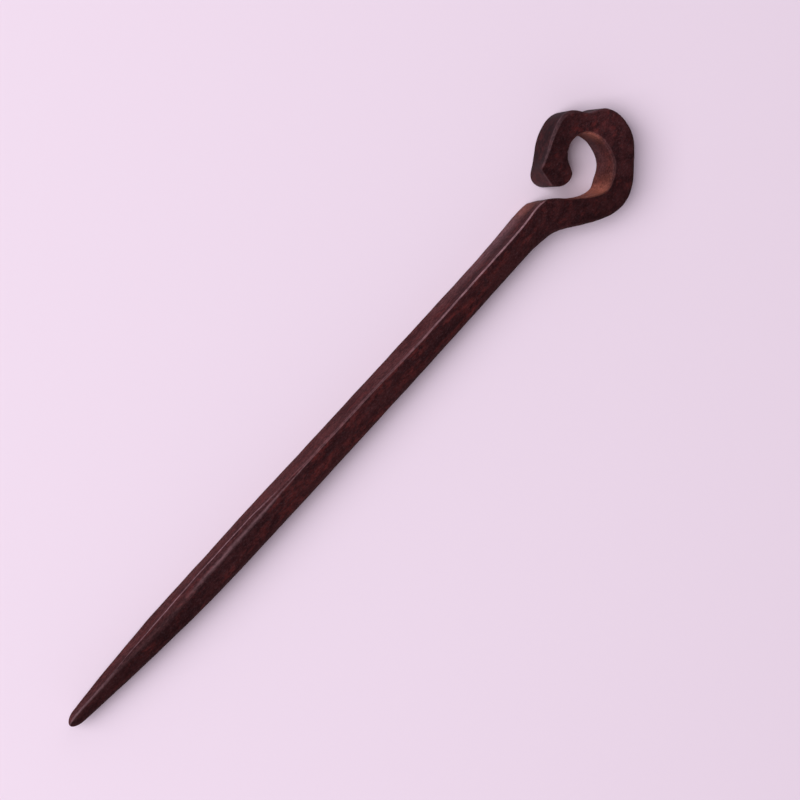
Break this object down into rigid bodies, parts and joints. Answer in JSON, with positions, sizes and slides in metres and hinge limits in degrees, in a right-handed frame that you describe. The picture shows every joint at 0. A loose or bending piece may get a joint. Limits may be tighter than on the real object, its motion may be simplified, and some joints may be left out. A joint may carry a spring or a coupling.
{
  "type": "hair stick",
  "caption": "Flat-cut wooden hair stick with a slender tapered shaft, a blunt round point and an open scroll head that curls back into a thick hook end.",
  "frame": {"origin": "middle of the stick's length and of its width, on the flat back that it lies on", "axes": "+X from the point to the head, +Y across the head towards the hook, +Z through the board from its flat back to its front face"},
  "size_m": [0.175, 0.024, 0.007],
  "materials": {
    "dark_hardwood": "very dark reddish-brown hardwood, sanded, oiled and hand-polished to a soft gloss"
  },
  "bodies": {
    "root": {"hair_stick": "dark_hardwood"}
  },
  "joints": []
}
